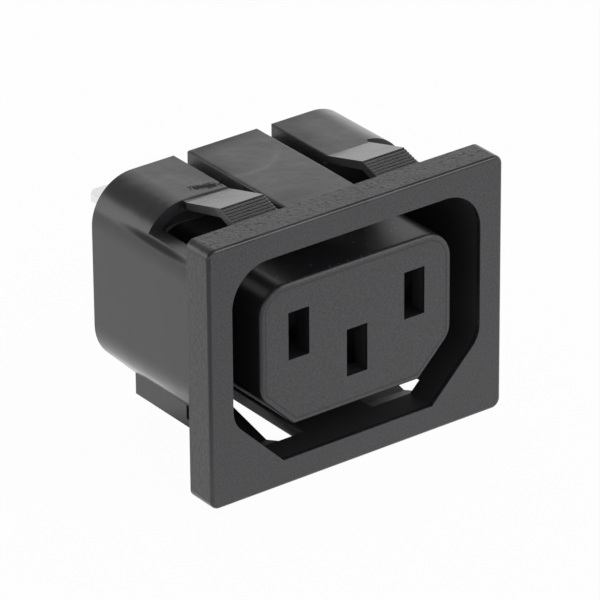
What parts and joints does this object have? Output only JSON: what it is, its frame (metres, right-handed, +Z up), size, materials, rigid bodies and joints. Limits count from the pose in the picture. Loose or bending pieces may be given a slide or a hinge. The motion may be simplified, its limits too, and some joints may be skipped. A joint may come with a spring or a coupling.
{
  "type": "iec panel socket",
  "caption": "Snap-in panel power outlet with a plug recess around a raised nose, slots for flat pins, stepped snap arms and rear quick-connect tabs.",
  "frame": {"origin": "centre of the flange's rear face, the plane that seats on the panel", "axes": "+Y into the panel towards the tabs, +Z up, +X to the right seen from the front"},
  "size_m": [0.0354, 0.0314, 0.0278],
  "materials": {
    "housing_plastic": "black moulded thermoplastic, spark-eroded on the front and smooth behind the flange",
    "cover_plastic": "black moulded thermoplastic",
    "contact_metal": "tin-plated, satin"
  },
  "bodies": {
    "root": {"housing": "housing_plastic", "rear_cover": "cover_plastic", "line_contact": "contact_metal", "neutral_contact": "contact_metal", "earth_contact": "contact_metal"}
  },
  "joints": []
}
